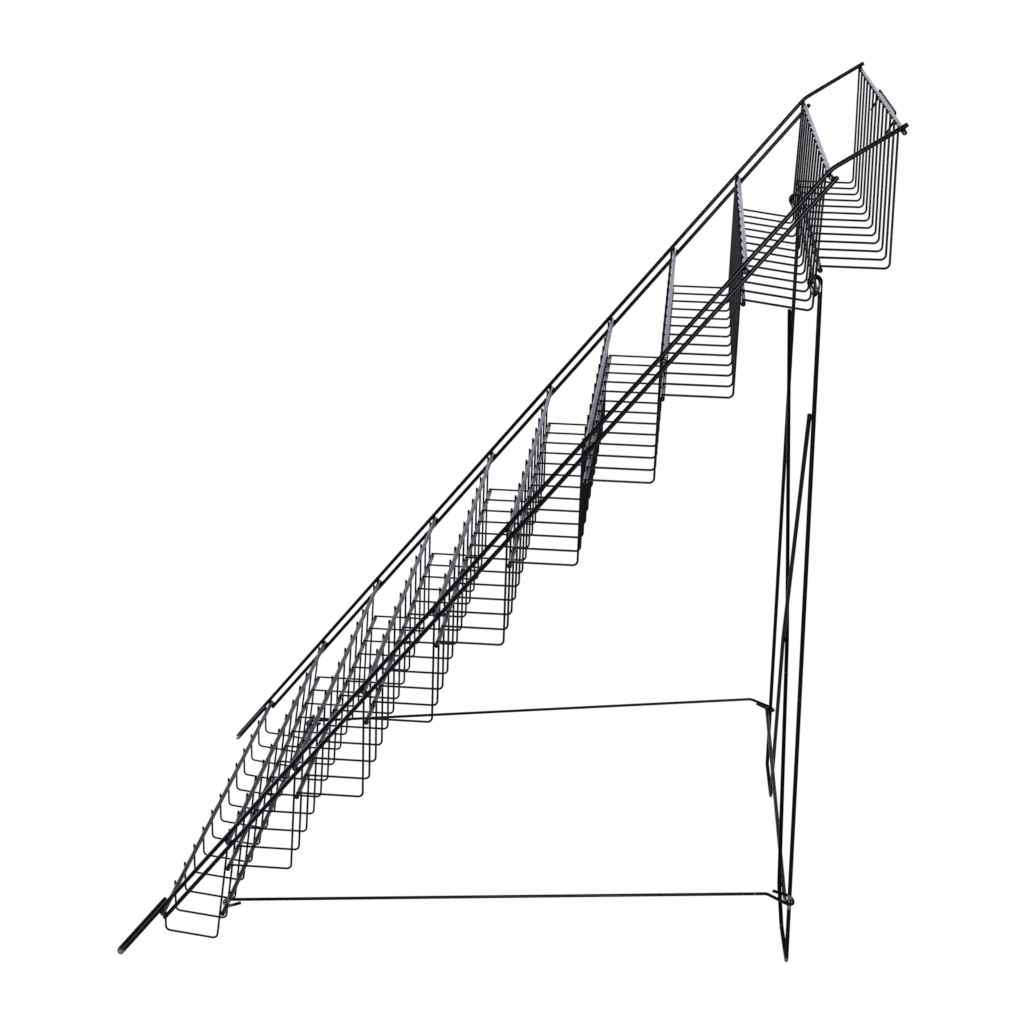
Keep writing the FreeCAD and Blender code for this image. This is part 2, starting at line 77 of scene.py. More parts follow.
class Signal:
    """A shader value that takes part in Python sums."""

    def __init__(self, graph: "CoatGraph", node: bpy.types.Node, output: int | str = 0) -> None:
        """Wrap one output of a node.

        Args:
            graph: The graph that owns the node.
            node: The node.
            output: Name or number of the output.
        """
        self.graph = graph
        self.node = node
        self.output = output

    @property
    def socket(self) -> bpy.types.NodeSocket:
        """The output socket itself."""
        return self.node.outputs[self.output]

    def maths(self, operation: str, *others: "Signal | float", swap: bool = False) -> "Signal":
        """Combine this value with others in a Math node.

        Args:
            operation: The Math node's operation.
            others: The other operands.
            swap: Put this value second.

        Returns:
            The node's result.
        """
        operands = [*others, self] if swap else [self, *others]
        return self.graph.add("ShaderNodeMath", {"operation": operation}, dict(enumerate(operands)))

    def __add__(self, other: "Signal | float") -> "Signal":
        """Sum of two values."""
        return self.maths("ADD", other)

    def __radd__(self, other: float) -> "Signal":
        """Sum with a number on the left."""
        return self.maths("ADD", other)

    def __sub__(self, other: "Signal | float") -> "Signal":
        """Difference of two values."""
        return self.maths("SUBTRACT", other)

    def __rsub__(self, other: float) -> "Signal":
        """Difference from a number on the left."""
        return self.maths("SUBTRACT", other, swap=True)

    def __mul__(self, other: "Signal | float") -> "Signal":
        """Product of two values."""
        return self.maths("MULTIPLY", other)

    def __rmul__(self, other: float) -> "Signal":
        """Product with a number on the left."""
        return self.maths("MULTIPLY", other)

    def __abs__(self) -> "Signal":
        """Size of the value without its sign."""
        return self.maths("ABSOLUTE")

    def highest(self, other: "Signal | float") -> "Signal":
        """The larger of two values."""
        return self.maths("MAXIMUM", other)

    def between(self, low: float, high: float) -> "Signal":
        """Rise smoothly from 0 at one value to 1 at another.

        Args:
            low: Value that gives 0.
            high: Value that gives 1.

        Returns:
            The eased value.
        """
        settings = {"interpolation_type": "SMOOTHSTEP"}
        inputs = {"Value": self, "From Min": low, "From Max": high}
        return self.graph.add("ShaderNodeMapRange", settings, inputs)


class CoatGraph:
    """One node graph, with the few node patterns that coated wire needs."""

    def __init__(self, owner: bpy.types.Material | bpy.types.World) -> None:
        """Start with no nodes.

        Args:
            owner: The material or world that the graph belongs to.
        """
        owner.use_nodes = True
        self.tree = owner.node_tree
        self.tree.nodes.clear()

    def add(
        self,
        kind: str,
        settings: dict[str, Any] | None = None,
        inputs: dict[str | int, Any] | None = None,
        output: int | str = 0,
    ) -> Signal:
        """Make one node.

        Args:
            kind: The node's type.
            settings: Properties of the node, set first.
            inputs: Values or signals of its sockets, by name or number.
            output: Name or number of the output that is used.

        Returns:
            The output's signal.
        """
        node = self.tree.nodes.new(kind)
        for name, value in (settings or {}).items():
            setattr(node, name, value)
        for name, value in (inputs or {}).items():
            if isinstance(value, Signal):
                self.tree.links.new(value.socket, node.inputs[name])
            else:
                node.inputs[name].default_value = value
        return Signal(self, node, output)

    def place(self) -> Signal:
        """Position on the piece, in metres."""
        return self.add("ShaderNodeTexCoord", output="Object")

    def facing(self) -> Signal:
        """Which way the surface faces, in the piece's own axes."""
        return self.add("ShaderNodeTexCoord", output="Normal")

    def axes(self, vector: Signal) -> tuple[Signal, Signal, Signal]:
        """Split a vector into its X, Y and Z."""
        split = self.add("ShaderNodeSeparateXYZ", inputs={0: vector}).node
        return Signal(self, split, "X"), Signal(self, split, "Y"), Signal(self, split, "Z")

    def noise(self, scale: float, detail: float = 2.0, roughness: float = 0.5,
              stretch: tuple[float, float, float] = (1.0, 1.0, 1.0),
              turn: tuple[float, float, float] = (0.0, 0.0, 0.0)) -> Signal:
        """Cloudy pattern from 0 to 1 on the piece.

        Args:
            scale: Number of cells in a metre.
            detail: Octaves of finer pattern.
            roughness: Strength of the finer pattern.
            stretch: Scale along each turned axis.
            turn: Turn of the pattern, in radians.

        Returns:
            The pattern's value.
        """
        mapping = self.add("ShaderNodeMapping", {"vector_type": "TEXTURE"},
                           {"Vector": self.place(), "Rotation": turn, "Scale": stretch})
        inputs = {"Vector": mapping, "Scale": scale, "Detail": detail, "Roughness": roughness}
        return self.add("ShaderNodeTexNoise", inputs=inputs)

    def blend(self, share: Signal | float, first: Any, second: Any) -> Signal:
        """Mix of two colours.

        Args:
            share: How much of the second colour shows.
            first: Colour or signal at 0.
            second: Colour or signal at 1.

        Returns:
            The mixed colour.
        """
        inputs = {0: share, 6: first, 7: second}
        return self.add("ShaderNodeMix", {"data_type": "RGBA"}, inputs, output=2)

    def bump(self, height: Signal, strength: float, depth: float) -> Signal:
        """Surface normal disturbed by a height pattern.

        Args:
            height: The pattern.
            strength: Share of the effect.
            depth: Depth of the full pattern in metres.

        Returns:
            The new normal.
        """
        inputs = {"Height": height, "Strength": strength, "Distance": depth}
        return self.add("ShaderNodeBump", inputs=inputs)


def grey(level: float, blue: float = 0.0) -> tuple[float, float, float, float]:
    """Opaque grey, a little bluer or warmer.

    Args:
        level: Linear brightness.
        blue: Share by which blue exceeds red.

    Returns:
        The colour.
    """
    return (level * (1 - blue / 2), level, level * (1 + blue / 2), 1.0)


@dataclass(frozen=True)
class RubMark:
    """A spot on both sides of the rack where another wire rubs the coat."""

    place: tuple[float, float, float]
    reach: float


CLOUD_SCALE = 22.0  # cells in a metre, here and in the scales below
STREAK_SCALE = 260.0
DUST_SCALE = 70.0
NICK_SCALE = 420.0
NICK_AREA_SCALE = 31.0
RAGGED_SCALE = 900.0
FINE_CELLS = 3.2  # fine cells to one cell of the peel
GRAIN_STRETCH = (1.0, 24.0, 1.0)
FLAT_ENOUGH = (0.35, 0.95)  # how much of a face looks up where dust starts to lie, and lies in full
SCUFF_TONE = 0.040
DUST_TONE = 0.120
RUBBED_TONE = 0.045
RUBBED_CORE = 0.35
PEEL_STRENGTH = 0.55
CLEAR_COAT_ROUGHNESS = 0.16


@dataclass(frozen=True)
class WireCoat:
    """Black powder coat on one kind of wire."""

    name: str
    dark: float = 0.0007
    light: float = 0.0018
    gloss_low: float = 0.20
    gloss_high: float = 0.30
    peel_cell: float = 1.1 * MM
    peel_depth: float = 0.003 * MM
    coat: float = 0.0
    ior: float = 1.20
    dust: float = 0.05
    scuff: float = 0.12
    grain_turn: float = 0.0
    bare_steel: float = 0.30
    foot_wear: float = 0.0
    rubs: tuple[RubMark, ...] = ()

    def rub_mask(self, graph: CoatGraph) -> Signal | None:
        """Where other wires and the floor have worn the coat.

        Args:
            graph: The material's graph.

        Returns:
            1 in the middle of a worn spot, 0 away from all, or nothing where the wire has none.
        """
        x, y, z = graph.axes(graph.place())
        mask = z.between(self.foot_wear, 0.1 * self.foot_wear) if self.foot_wear else None
        for rub in self.rubs:
            offset = [abs(x) - rub.place[0], y - rub.place[1], z - rub.place[2]]
            squared = offset[0] * offset[0] + offset[1] * offset[1] + offset[2] * offset[2]
            near = squared.between(rub.reach**2, (RUBBED_CORE * rub.reach) ** 2)
            mask = mask.highest(near) if mask else near
        return mask

    def make(self) -> bpy.types.Material:
        """Build the material.

        Returns:
            The finished material.
        """
        material = bpy.data.materials.new(self.name)
        graph = CoatGraph(material)
        cloud = graph.noise(CLOUD_SCALE, 3.0)
        peel = graph.noise(1.0 / self.peel_cell, 1.5)
        fine = graph.noise(FINE_CELLS / self.peel_cell, 2.0)
        grain = (self.grain_turn, 0.0, 0.0)
        streak = graph.noise(STREAK_SCALE, 3.0, 0.6, stretch=GRAIN_STRETCH, turn=grain)
        upward = graph.axes(graph.facing())[2].between(*FLAT_ENOUGH)
        dust = upward * graph.noise(DUST_SCALE, 4.0, 0.65).between(0.38, 0.72) * self.dust
        scuff = streak.between(0.60, 0.74) * self.scuff
        nicks = graph.noise(NICK_SCALE, 2.0).between(0.70, 0.735)
        nicks = nicks * graph.noise(NICK_AREA_SCALE, 1.0).between(0.52, 0.66)

        tone = graph.blend(cloud.between(0.3, 0.7), grey(self.dark, 0.30), grey(self.light, 0.36))
        tone = graph.blend(scuff, tone, grey(SCUFF_TONE, 0.10))
        tone = graph.blend(dust, tone, grey(DUST_TONE))
        gloss = cloud * (self.gloss_high - self.gloss_low) + self.gloss_low
        gloss = gloss + scuff * 0.16 + dust * 0.30 + (fine - 0.5) * 0.10
        bare = nicks * 0.8
        rub = self.rub_mask(graph)
        if rub:
            ragged = rub + (graph.noise(RAGGED_SCALE, 3.0) - 0.5) * 0.9
            polished = rub * 0.5
            bare = bare.highest(ragged.between(0.55, 0.80) * rub.between(0.0, 0.15))
            tone = graph.blend(polished, tone, grey(RUBBED_TONE, 0.02))
            gloss = gloss - polished * 0.10
        tone = graph.blend(bare, tone, grey(self.bare_steel, 0.04))
        height = peel + fine * 0.25 - bare * 0.8
        coat = (1.0 - dust) * (1.0 - bare) * self.coat
        shader = graph.add(
            "ShaderNodeBsdfPrincipled",
            inputs={
                "Base Color": tone,
                "Roughness": gloss + bare * 0.12,
                "Metallic": bare,
                "Coat Weight": coat,
                "Coat Roughness": CLEAR_COAT_ROUGHNESS,
                "IOR": self.ior,
                "Normal": graph.bump(height, PEEL_STRENGTH, self.peel_depth),
            },
        )
        graph.add("ShaderNodeOutputMaterial", inputs={"Surface": shader})
        return material


# Where wires rub on each other, in metres on the right side; both sides wear alike.
STAND_PIVOT = (0.262, 0.33975, 0.81269)
BRACE_PIVOT = (0.258, -0.29536, 0.05071)
STAND_BAR_END = (0.227, 0.3565, 0.0825)
BRACE_HOOK = (0.227, 0.3560, 0.0790)
# Slopes of the rails above the floor.
RAKE = math.radians(51.16)
TOP_RUN = math.radians(33.0)

RAIL_COAT = WireCoat(
    "rail_black_coat",
    gloss_low=0.16,
    gloss_high=0.24,
    ior=1.25,
    dust=0.03,
    grain_turn=RAKE,
    foot_wear=14 * MM,
    peel_cell=1.4 * MM,
)
CROSS_COAT = WireCoat(
    "cross_wire_black_coat",
    gloss_low=0.22,
    gloss_high=0.32,
    coat=0.25,
    ior=1.5,
    dust=0.14,
    peel_cell=1.3 * MM,
    peel_depth=0.008 * MM,
)
SHELF_COAT = WireCoat(
    "shelf_wire_black_coat",
    gloss_low=0.26,
    gloss_high=0.38,
    scuff=0.15,
    peel_cell=0.8 * MM,
)
STAND_COAT = WireCoat(
    "stand_black_coat",
    grain_turn=math.radians(90.0),
    foot_wear=14 * MM,
    peel_cell=1.4 * MM,
    rubs=(RubMark(STAND_PIVOT, 9 * MM), RubMark(STAND_BAR_END, 14 * MM)),
)
BAR_COAT = WireCoat(
    "stand_bar_black_coat",
    ior=1.45,
    dust=0.15,
    rubs=(RubMark(STAND_BAR_END, 14 * MM),),
)
PIVOT_COAT = WireCoat(
    "pivot_wire_black_coat",
    ior=1.35,
    dust=0.15,
    rubs=(RubMark(STAND_PIVOT, 11 * MM), RubMark(BRACE_PIVOT, 9 * MM)),
)
BRACE_COAT = WireCoat(
    "brace_black_coat",
    rubs=(RubMark(BRACE_PIVOT, 9 * MM), RubMark(BRACE_HOOK, 12 * MM)),
)
SIGN_COAT = WireCoat(
    "sign_holder_black_coat",
    gloss_low=0.42,
    gloss_high=0.55,
    ior=1.15,
    peel_cell=0.9 * MM,
)
WELD_COAT = WireCoat(
    "weld_bead_black_coat",
    dark=0.0018,
    light=0.0045,
    gloss_low=0.30,
    gloss_high=0.48,
    peel_cell=0.9 * MM,
    scuff=0.1,
)


class CoatBox:
    """Keeps each coat's material, so that it is mixed once."""

    def __init__(self) -> None:
        """Start with no coat mixed."""
        self.mixed: dict[str, bpy.types.Material] = {}

    def dress(self, piece: bpy.types.Object, coat: WireCoat) -> None:
        """Give one piece a coat, all over.

        Args:
            piece: The object to coat.
            coat: The coat.
        """
        if coat.name not in self.mixed:
            self.mixed[coat.name] = coat.make()
        material = self.mixed[coat.name]
        if not piece.material_slots:
            piece.data.materials.append(material)
        for slot in piece.material_slots:
            slot.material = material


WELD_STRETCH = (1.30, 1.12, 0.74)
DROP_STRETCH = (1.0, 1.0, 0.45)
DROP_ROOT_STRETCH = (1.0, 1.0, 1.6)


class BeadShape(Enum):
    """Small shapes that a bead can have, each made once at unit radius."""

    WELD = "weld"
    DROP = "drop"

    def mould(self) -> bpy.types.Mesh:
        """Make the shape at unit radius, its end or its flat side along Z.

        Returns:
            The mesh.
        """
        shape = bmesh.new()
        if self is BeadShape.WELD:
            bmesh.ops.create_uvsphere(shape, u_segments=10, v_segments=6, radius=1.0)
            bmesh.ops.scale(shape, vec=WELD_STRETCH, verts=shape.verts[:])
        else:
            bmesh.ops.create_uvsphere(shape, u_segments=14, v_segments=8, radius=1.0)
            below = [vert for vert in shape.verts if vert.co.z < 0]
            bmesh.ops.scale(shape, vec=DROP_STRETCH, verts=shape.verts[:])
            bmesh.ops.scale(shape, vec=DROP_ROOT_STRETCH, verts=below)
        mesh = bpy.data.meshes.new(self.value)
        shape.to_mesh(mesh)
        shape.free()
        return mesh


@dataclass
class BeadTray:
    """Many small beads of one sub-assembly, gathered into one piece."""

    name: str
    body: Body
    mesh: bmesh.types.BMesh = field(default_factory=bmesh.new)
    moulds: dict[BeadShape, bpy.types.Mesh] = field(default_factory=dict)
    count: int = 0

    def cast(self, shape: BeadShape, place: Vector, turn: Matrix, radius: float) -> None:
        """Add one bead.

        Args:
            shape: The bead's shape.
            place: Its middle.
            turn: Its turn.
            radius: Its radius.
        """
        if shape not in self.moulds:
            self.moulds[shape] = shape.mould()
        bead = self.moulds[shape].copy()
        bead.transform(Matrix.LocRotScale(place, turn.to_quaternion(), Vector((radius,) * 3)))
        self.mesh.from_mesh(bead)
        bpy.data.meshes.remove(bead)
        self.count += 1

    def weld(self, place: Vector, first: Vector, second: Vector, wire: float) -> None:
        """Add the bead between two crossed wires.

        Args:
            place: Where the wires touch.
            first: Direction of the thinner wire.
            second: Direction of the thicker wire.
            wire: Diameter of the thinner wire.
        """
        along = first.normalized()
        normal = along.cross(second).normalized()
        across = normal.cross(along)
        self.cast(BeadShape.WELD, place, Matrix((along, across, normal)).transposed(), wire / 2)

    def cap(self, end: Vector, heading: Vector, wire: float, swell: float = 0.10 * MM) -> None:
        """Add the drop of coat on a cut wire end.

        Args:
            end: Middle of the cut face.
            heading: Direction in which the wire ends.
            wire: Diameter of the wire.
            swell: How far the drop stands proud of the wire.
        """
        turn = Z_AXIS.rotation_difference(heading.normalized()).to_matrix()
        self.cast(BeadShape.DROP, end, turn, wire / 2 + swell)

    def finish(self, coats: CoatBox, coat: WireCoat) -> None:
        """Close the tray: make its piece, coat it and let it ride on its body.

        Args:
            coats: The mixed coats.
            coat: The coat of the beads.
        """
        data = bpy.data.meshes.new(self.name)
        self.mesh.to_mesh(data)
        self.mesh.free()
        for mould in self.moulds.values():
            bpy.data.meshes.remove(mould)
        data.shade_smooth()
        piece = bpy.data.objects.new(self.name, data)
        bpy.context.scene.collection.objects.link(piece)
        coats.dress(piece, coat)
        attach(piece, self.body.value)
        LOG.info("%s: %d beads on %s", self.name, self.count, self.body.value)


@dataclass(frozen=True)
class WeldSpot:
    """A weld between two crossed wires of the stand or the sign holder, in millimetres."""

    place: tuple[float, float, float]
    first: tuple[float, float, float]
    second: tuple[float, float, float]

    def add_to(self, tray: BeadTray, wire: float) -> None:
        """Put this weld's bead in a tray.

        Args:
            tray: Tray that takes the bead.
            wire: Diameter of the thinner wire.
        """
        tray.weld(Vector(self.place) * MM, Vector(self.first), Vector(self.second), wire)


@dataclass(frozen=True)
class WireEnd:
    """A cut end of a bent wire and the way it points, its place in millimetres."""

    place: tuple[float, float, float]
    heading: tuple[float, float, float]

    def add_to(self, tray: BeadTray, wire: float) -> None:
        """Put this end's drop in a tray.

        Args:
            tray: Tray that takes the drop.
            wire: Diameter of the wire.
        """
        tray.cap(Vector(self.place) * MM, Vector(self.heading), wire)


def middle(node: str) -> Vector:
    """Middle of a frame node's box.

    Args:
        node: The node's name.

    Returns:
        The middle point.
    """
    low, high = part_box(node)
    return (low + high) / 2


def uphill(angle: float) -> Vector:
    """Direction in the side view that rises to the back at an angle."""
    return Vector((0.0, math.cos(angle), math.sin(angle)))


def uphill_ahead(slope: float) -> Vector:
    """Direction in the side view that rises to the front at an angle."""
    return Vector((0.0, -math.cos(slope), math.sin(slope)))


@dataclass
class SideFrames:
    """The two pairs of rails and the cross wires welded between them."""

    coats: CoatBox
    rail_wire: float = 4.8 * MM
    cross_wire: float = 5.2 * MM
    rail_place: float = 305 * MM
    rail_stub: float = 4 * MM
    top_stub: float = 6 * MM
    cross_count: int = 11
    foot_returns: tuple[WireEnd, ...] = (
        WireEnd((301.32, -358.35, 75.28), (0.0, 0.627, 0.779)),
        WireEnd((-300.25, -368.27, 53.73), (0.0, 0.627, 0.779)),
    )

    def cross_names(self) -> list[str]:
        """Names of the cross wires, from the top one down."""
        return [f"top_cross_wire_{number:02d}" for number in range(self.cross_count)]

    def dress(self, nodes: dict[str, bpy.types.Object]) -> None:
        """Coat the rails and cross wires.

        Args:
            nodes: The frame's nodes.
        """
        for side in SIDE_NAMES:
            for rail in ("outer", "inner"):
                self.coats.dress(nodes[f"{side}_{rail}_rail_wire"], RAIL_COAT)
        for name in self.cross_names():
            self.coats.dress(nodes[name], CROSS_COAT)

    def build(self) -> None:
        """Add the welds at the rails and the drops on the wire ends."""
        welds = BeadTray("rail_weld_beads", Body.RACK)
        caps = BeadTray("rail_end_drops", Body.RACK)
        for number, name in enumerate(self.cross_names()):
            centre = middle(name)
            angle = TOP_RUN if number == 0 else RAKE
            across = uphill(angle + math.pi / 2)
            sides = (1.0,) if number == 0 else (1.0, -1.0)
            for side in SIDES:
                spot = Vector((side * self.rail_place, centre.y, centre.z))
                for step in sides:
                    touch = spot + across * (step * self.cross_wire / 2)
                    welds.weld(touch, uphill(angle), X_AXIS, self.rail_wire)
                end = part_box(name)[0 if side < 0 else 1].x
                caps.cap(Vector((end, centre.y, centre.z)), X_AXIS * side, self.cross_wire)
        for side in SIDES:
            self.cap_rails(caps, side)
        for end in self.foot_returns:
            end.add_to(caps, self.rail_wire)
        welds.finish(self.coats, WELD_COAT)
        caps.finish(self.coats, CROSS_COAT)

    def cap_rails(self, caps: BeadTray, side: float) -> None:
        """Add the drops on the ends of one side's rails.

        Args:
            caps: Tray that takes the drops.
            side: 1 on the right, -1 on the left.
        """
        reach = (self.rail_wire + self.cross_wire) / 2 + WELD_GAP
        top, bend, lip = (
            Vector((side * self.rail_place, centre.y, centre.z))
            for centre in (middle(self.cross_names()[number]) for number in (0, 1, -1))
        )
        run, climb = uphill(TOP_RUN), uphill(RAKE)
        over = uphill(TOP_RUN + math.pi / 2) * reach
        under = uphill(RAKE - math.pi / 2) * reach
        caps.cap(top + over + run * self.top_stub, run, self.rail_wire)
        caps.cap(bend + under + climb * self.rail_stub, climb, self.rail_wire)
        caps.cap(lip + under - climb * self.rail_stub, -climb, self.rail_wire)


@dataclass
class ShelfStack:
    """The ten shelves and the lower cross wires that carry their floors."""

    coats: CoatBox
    wire: float = 2.4 * MM
    cross_wire: float = 5.2 * MM
    pitch: float = 46.9 * MM
    wire_count: int = 13
    tier_count: int = 10
    nub: float = 3 * MM
    swell: float = 0.06 * MM
    drop: float = 139.7 * MM
    lean: float = 1.5 * MM
    # How far a shelf's back leans over its height, where it differs; 0 is shelf 1's front uprights.
    leans: dict[int, float] = field(
        default_factory=lambda: {0: 0.0, 1: 18 * MM, 2: 7 * MM, 9: 4.2 * MM, 10: -2.5 * MM})
    floor_rise: dict[int, float] = field(default_factory=lambda: {9: 9 * MM})
    pivot_wires: dict[str, float] = field(
        default_factory=lambda: {"stand_pivot_wire": 3.6 * MM, "brace_pivot_wire": 5.2 * MM})

    def places(self) -> Iterator[float]:
        """Places across the rack of the shelf wires."""
        for index in range(self.wire_count):
            yield (index - (self.wire_count - 1) / 2) * self.pitch

    def dress(self, nodes: dict[str, bpy.types.Object]) -> None:
        """Coat the shelves and the wires under them.

        Args:
            nodes: The frame's nodes.
        """
        for tier in range(1, self.tier_count + 1):
            self.coats.dress(nodes[f"shelf_{tier:02d}_wires"], SHELF_COAT)
            if tier > 1:
                self.coats.dress(nodes[f"lower_cross_wire_{tier:02d}"], CROSS_COAT)
        for name in self.pivot_wires:
            self.coats.dress(nodes[name], PIVOT_COAT)

    def build(self) -> None:
        """Add the welds of every shelf wire and the drops on its ends."""
        welds = BeadTray("shelf_weld_beads", Body.RACK)
        caps = BeadTray("shelf_end_drops", Body.RACK)
        reach = (self.cross_wire + self.wire) / 2 + WELD_GAP
        for tier in range(self.tier_count + 1):
            cross = middle(f"top_cross_wire_{self.tier_count - tier:02d}")
            slope = math.atan(self.leans.get(tier, self.lean) / (self.drop + self.nub))
            upright = Vector((0.0, math.sin(slope), math.cos(slope)))
            ahead = uphill_ahead(slope)
            end = ahead * reach + upright * ((self.nub - ahead.z * reach) / upright.z)
            for place in self.places():
                spot = Vector((place, cross.y, cross.z))
                welds.weld(spot + ahead * self.cross_wire / 2, upright, X_AXIS, self.wire)
                caps.cap(spot + end, upright, self.wire, self.swell)
        for tier in range(2, self.tier_count + 1):
            self.build_floor(welds, caps, tier)
        for name, wire in self.pivot_wires.items():
            centre = middle(name)
            for place in self.places():
                touch = Vector((place, centre.y - wire / 2, centre.z))
                welds.weld(touch, Z_AXIS, X_AXIS, self.wire)
            self.cap_crosswise(caps, name, wire)
        welds.finish(self.coats, WELD_COAT)
        caps.finish(self.coats, SHELF_COAT)

    def build_floor(self, welds: BeadTray, caps: BeadTray, tier: int) -> None:
        """Add the beads and drops at the front of one shelf's floor.

        Args:
            welds: Tray that takes the weld beads.
            caps: Tray that takes the drops.
            tier: The shelf's number.
        """
        name = f"lower_cross_wire_{tier:02d}"
        centre = middle(name)
        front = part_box(f"shelf_{tier:02d}_wires")[0].y
        depth = middle(f"shelf_{tier:02d}_wires").y - front
        slope = math.atan2(self.floor_rise.get(tier, 0.0), 2 * depth)
        normal = Vector((0.0, math.sin(slope), math.cos(slope)))
        ahead = uphill_ahead(slope)
        for place in self.places():
            spot = Vector((place, centre.y, centre.z))
            welds.weld(spot + normal * self.cross_wire / 2, ahead, X_AXIS, self.wire)
            welds.weld(spot - Vector((0.0, self.cross_wire / 2, 0.0)), Z_AXIS, X_AXIS, self.wire)
            over = spot + normal * ((self.cross_wire + self.wire) / 2 + WELD_GAP)
            end = over + ahead * ((over.y - front) / math.cos(slope))
            caps.cap(end, ahead, self.wire, self.swell)
        self.cap_crosswise(caps, name, self.cross_wire)

    def cap_crosswise(self, caps: BeadTray, name: str, wire: float) -> None:
        """Add the drops on both ends of a crosswise wire.

        Args:
            caps: Tray that takes the drops.
            name: The wire's node.
            wire: Its diameter.
        """
        centre = middle(name)
        low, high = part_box(name)
        caps.cap(Vector((low.x, centre.y, centre.z)), -X_AXIS, wire)
        caps.cap(Vector((high.x, centre.y, centre.z)), X_AXIS, wire)


@dataclass
class RearStand:
    """The folding stand: two legs with eyes, forks and diagonals, and the sloping bar."""

    coats: CoatBox
    wire: float = 4.8 * MM
    crossings: tuple[WeldSpot, ...] = (
        WeldSpot((189.72, 352.09, 85.20), (-0.604, -0.041, 0.796), (0.995, 0.027, -0.099)),
        WeldSpot((226.07, 357.91, 81.67), (-0.051, 0.022, -0.998), (0.995, 0.027, -0.099)),
        WeldSpot((-228.37, 345.76, 126.70), (0.051, 0.006, -0.999), (0.995, 0.027, -0.099)),
        WeldSpot((-256.20, 342.44, 672.27), (-0.605, -0.023, 0.796), (0.051, 0.006, -0.999)),
        WeldSpot((256.36, 344.70, 672.75), (0.577, -0.007, 0.817), (-0.051, 0.022, -0.998)),
        WeldSpot((9.35, 347.57, 322.73), (0.577, -0.017, 0.817), (-0.605, -0.011, 0.796)),
    )
    ends: tuple[WireEnd, ...] = (
        WireEnd((262.0, 339.33, 804.76), (0.0, 0.489, -0.872)),
        WireEnd((-262.0, 339.20, 804.76), (0.0, 0.475, -0.880)),
        WireEnd((-258.78, 339.91, 675.86), (-0.605, -0.023, 0.796)),
        WireEnd((258.66, 342.25, 675.86), (0.577, -0.007, 0.817)),
        WireEnd((-229.37, 343.31, 126.77), (-0.995, -0.027, 0.099)),
        WireEnd((227.06, 355.51, 81.49), (0.995, 0.027, -0.099)),
    )

    def dress(self, nodes: dict[str, bpy.types.Object]) -> None:
        """Coat the stand's wires.

        Args:
            nodes: The frame's nodes.
        """
        for side in SIDE_NAMES:
            self.coats.dress(nodes[f"{side}_stand_leg_wire"], STAND_COAT)
        self.coats.dress(nodes["stand_bar"], BAR_COAT)

    def build(self) -> None:
        """Add the welds of the crossed wires and the drops on their ends."""
        welds = BeadTray("stand_weld_beads", Body.STAND)
        for spot in self.crossings:
            spot.add_to(welds, self.wire)
        welds.finish(self.coats, WELD_COAT)
        caps = BeadTray("stand_end_drops", Body.STAND)
        for end in self.ends:
            end.add_to(caps, self.wire)
        caps.finish(self.coats, STAND_COAT)


@dataclass
class SideBraces:
    """The two braces that hook the stand to the front of the rack."""

    coats: CoatBox
    wire: float = 3.6 * MM
    ends: dict[Body, tuple[WireEnd, ...]] = field(default_factory=lambda: {
        Body.RIGHT_BRACE: (
            WireEnd((258.0, -280.39, 51.57), (0.0, 0.936, 0.351)),
            WireEnd((221.29, 341.28, 92.58), (0.219, -0.916, 0.337)),
        ),
        Body.LEFT_BRACE: (
            WireEnd((-258.0, -280.49, 52.63), (0.0, 0.909, 0.416)),
            WireEnd((-223.51, 329.18, 135.94), (-0.219, -0.916, 0.337)),
        ),
    })

    def dress(self, nodes: dict[str, bpy.types.Object]) -> None:
        """Coat the braces.

        Args:
            nodes: The frame's nodes.
        """
        for side in SIDE_NAMES:
            self.coats.dress(nodes[f"{side}_brace_wire"], BRACE_COAT)

    def build(self) -> None:
        """Add the drops on the ends of the eyes and hooks."""
        for body, ends in self.ends.items():
            caps = BeadTray(f"{body.value}_end_drops", body)
            for end in ends:
                end.add_to(caps, self.wire)
            caps.finish(self.coats, BRACE_COAT)


@dataclass
class SignHolder:
    """The flat loop behind the top cross wire."""

    coats: CoatBox
    wire: float = 2.4 * MM
    crossings: tuple[WeldSpot, ...] = (
        WeldSpot((-55.0, 414.95, 978.40), (0.0, 0.0, 1.0), (1.0, 0.0, 0.0)),
        WeldSpot((156.0, 414.95, 978.40), (0.0, 0.0, 1.0), (1.0, 0.0, 0.0)),
    )
    ends: tuple[WireEnd, ...] = (
        WireEnd((-55.0, 408.17, 958.65), (0.0, -0.459, -0.889)),
        WireEnd((156.0, 408.17, 958.65), (0.0, -0.459, -0.889)),
    )

    def dress(self, nodes: dict[str, bpy.types.Object]) -> None:
        """Coat the loop.

        Args:
            nodes: The frame's nodes.
        """
        self.coats.dress(nodes["sign_holder_wire"], SIGN_COAT)

    def build(self) -> None:
        """Add the welds on the top cross wire and the drops on the leg ends."""
        beads = BeadTray("sign_holder_beads", Body.RACK)
        for spot in self.crossings:
            spot.add_to(beads, self.wire)
        for end in self.ends:
            end.add_to(beads, self.wire)
        beads.finish(self.coats, SIGN_COAT)


@dataclass(frozen=True)
class SoftBox:
    """One soft lamp of the studio."""

    name: str
    place: tuple[float, float, float]
    target: tuple[float, float, float]
    width: float
    height: float
    level: float
    tint: tuple[float, float, float]


